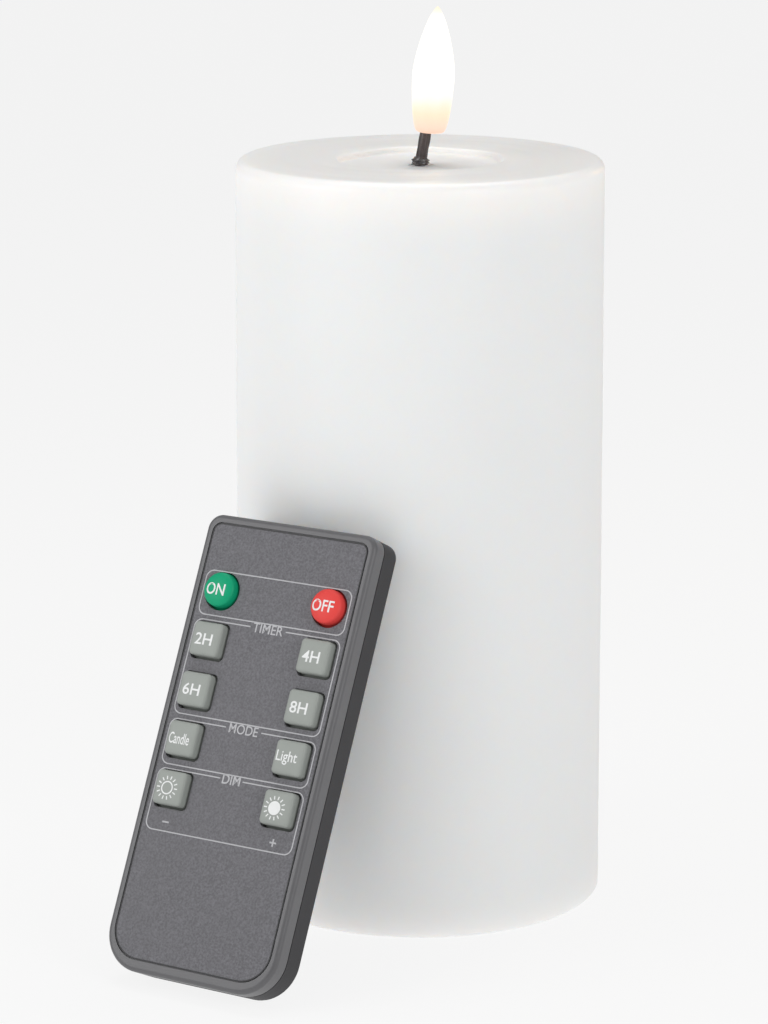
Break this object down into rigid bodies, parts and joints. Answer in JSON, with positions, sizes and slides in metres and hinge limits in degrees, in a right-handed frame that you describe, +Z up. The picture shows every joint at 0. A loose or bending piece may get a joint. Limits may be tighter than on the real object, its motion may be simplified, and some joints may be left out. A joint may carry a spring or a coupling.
{
  "type": "flameless led candle",
  "caption": "White wax pillar candle with a lit LED flame on a black wick, a battery bay in its base, and its leaning hand controller with press keys.",
  "frame": {"origin": "centre of the candle's foot, on the surface it stands on", "axes": "+Z up along the candle's axis, -Y towards the front where the controller leans, +X to the right"},
  "size_m": [0.0973, 0.1178, 0.1825],
  "materials": {
    "ivory_wax": "satin, slightly translucent wax",
    "housing_plastic": "moulded",
    "pad_rubber": "matte",
    "screw_steel": "plated",
    "cell_jacket": "printed sleeve",
    "contact_nickel": "nickel plate",
    "switch_can": "pressed",
    "black_plastic": "moulded",
    "board_laminate": "solder mask",
    "ir_black": "dark tinted",
    "key_light_plastic": "moulded",
    "lead_insulation": "insulation",
    "wick_black": "waxed braid",
    "led_resin": "clear resin",
    "flame_diffuser": "emissive, frosted and lit from its foot",
    "remote_case_plastic": "fine satin",
    "remote_overlay_film": "fine grained film",
    "key_rubber": "matte",
    "key_grey": "matte, legend printed",
    "key_green": "matte, legend printed",
    "key_red": "matte, legend printed",
    "coin_steel": "polished can"
  },
  "bodies": {
    "candle": {"wax_pillar": "ivory_wax", "core_housing": "housing_plastic", "base_plate": "housing_plastic", "base_pads": "pad_rubber", "base_screws": "screw_steel", "battery_box": "housing_plastic", "battery_box_screws": "screw_steel", "battery_cell_a": "cell_jacket", "battery_cell_b": "cell_jacket", "battery_contacts": "contact_nickel", "battery_springs": "contact_nickel", "power_switch_body": "switch_can", "circuit_board": "board_laminate", "controller_chip": "black_plastic", "ir_receiver": "ir_black", "board_capacitor": "cell_jacket", "board_passives": "switch_can", "lamp_connector": "key_light_plastic", "lamp_leads": "lead_insulation", "battery_leads": "lead_insulation", "switch_leads": "lead_insulation", "wick_tube": "housing_plastic", "wick": "wick_black", "wick_collar": "wick_black", "flame_led": "led_resin", "flame_bulb": "flame_diffuser"},
    "battery_door": {"battery_door": "housing_plastic", "door_bridge_contact": "contact_nickel"},
    "power_switch": {"power_switch_slider": "black_plastic"},
    "remote": {"remote_front_case": "remote_case_plastic", "remote_overlay": "remote_overlay_film", "remote_back_case": "remote_case_plastic", "remote_key_mat": "key_rubber", "remote_board": "board_laminate", "remote_chip": "black_plastic", "remote_cell_clips": "contact_nickel", "remote_ir_emitter": "led_resin", "remote_ir_window": "ir_black"},
    "remote_tray": {"remote_cell_tray": "remote_case_plastic", "remote_coin_cell": "coin_steel"},
    "remote_key_on": {"remote_key_on": "key_green"},
    "remote_key_off": {"remote_key_off": "key_red"},
    "remote_key_timer_2h": {"remote_key_timer_2h": "key_grey"},
    "remote_key_timer_4h": {"remote_key_timer_4h": "key_grey"},
    "remote_key_timer_6h": {"remote_key_timer_6h": "key_grey"},
    "remote_key_timer_8h": {"remote_key_timer_8h": "key_grey"},
    "remote_key_candle_mode": {"remote_key_candle_mode": "key_grey"},
    "remote_key_light_mode": {"remote_key_light_mode": "key_grey"},
    "remote_key_dim_down": {"remote_key_dim_down": "key_grey"},
    "remote_key_dim_up": {"remote_key_dim_up": "key_grey"}
  },
  "joints": [
    {"name": "battery_door_hinge", "type": "hinge", "parent": "candle", "child": "battery_door", "pos_m": [0, 0.0172, 0.003], "axis": [1, 0, 0], "range_deg": [0, 90]},
    {"name": "power_switch_slide", "type": "slide", "parent": "candle", "child": "power_switch", "axis": [1, 0, 0], "range_m": [-0.004, 0]},
    {"name": "remote_lift_off", "type": "slide", "parent": "candle", "child": "remote", "axis": [0, 0, 1], "range_m": [0, 0.09]},
    {"name": "remote_tray_slide", "type": "slide", "parent": "remote", "child": "remote_tray", "axis": [-0.2258, -0.3758, -0.8988], "range_m": [0, 0.024]},
    {"name": "remote_press_on", "type": "slide", "parent": "remote", "child": "remote_key_on", "axis": [0.4629, 0.7704, -0.4384], "range_m": [0, 0.0006], "stiffness_N_per_m": 1500},
    {"name": "remote_press_off", "type": "slide", "parent": "remote", "child": "remote_key_off", "axis": [0.4629, 0.7704, -0.4384], "range_m": [0, 0.0006], "stiffness_N_per_m": 1500},
    {"name": "remote_press_timer_2h", "type": "slide", "parent": "remote", "child": "remote_key_timer_2h", "axis": [0.4629, 0.7704, -0.4384], "range_m": [0, 0.0006], "stiffness_N_per_m": 1500},
    {"name": "remote_press_timer_4h", "type": "slide", "parent": "remote", "child": "remote_key_timer_4h", "axis": [0.4629, 0.7704, -0.4384], "range_m": [0, 0.0006], "stiffness_N_per_m": 1500},
    {"name": "remote_press_timer_6h", "type": "slide", "parent": "remote", "child": "remote_key_timer_6h", "axis": [0.4629, 0.7704, -0.4384], "range_m": [0, 0.0006], "stiffness_N_per_m": 1500},
    {"name": "remote_press_timer_8h", "type": "slide", "parent": "remote", "child": "remote_key_timer_8h", "axis": [0.4629, 0.7704, -0.4384], "range_m": [0, 0.0006], "stiffness_N_per_m": 1500},
    {"name": "remote_press_candle_mode", "type": "slide", "parent": "remote", "child": "remote_key_candle_mode", "axis": [0.4629, 0.7704, -0.4384], "range_m": [0, 0.0006], "stiffness_N_per_m": 1500},
    {"name": "remote_press_light_mode", "type": "slide", "parent": "remote", "child": "remote_key_light_mode", "axis": [0.4629, 0.7704, -0.4384], "range_m": [0, 0.0006], "stiffness_N_per_m": 1500},
    {"name": "remote_press_dim_down", "type": "slide", "parent": "remote", "child": "remote_key_dim_down", "axis": [0.4629, 0.7704, -0.4384], "range_m": [0, 0.0006], "stiffness_N_per_m": 1500},
    {"name": "remote_press_dim_up", "type": "slide", "parent": "remote", "child": "remote_key_dim_up", "axis": [0.4629, 0.7704, -0.4384], "range_m": [0, 0.0006], "stiffness_N_per_m": 1500}
  ]
}
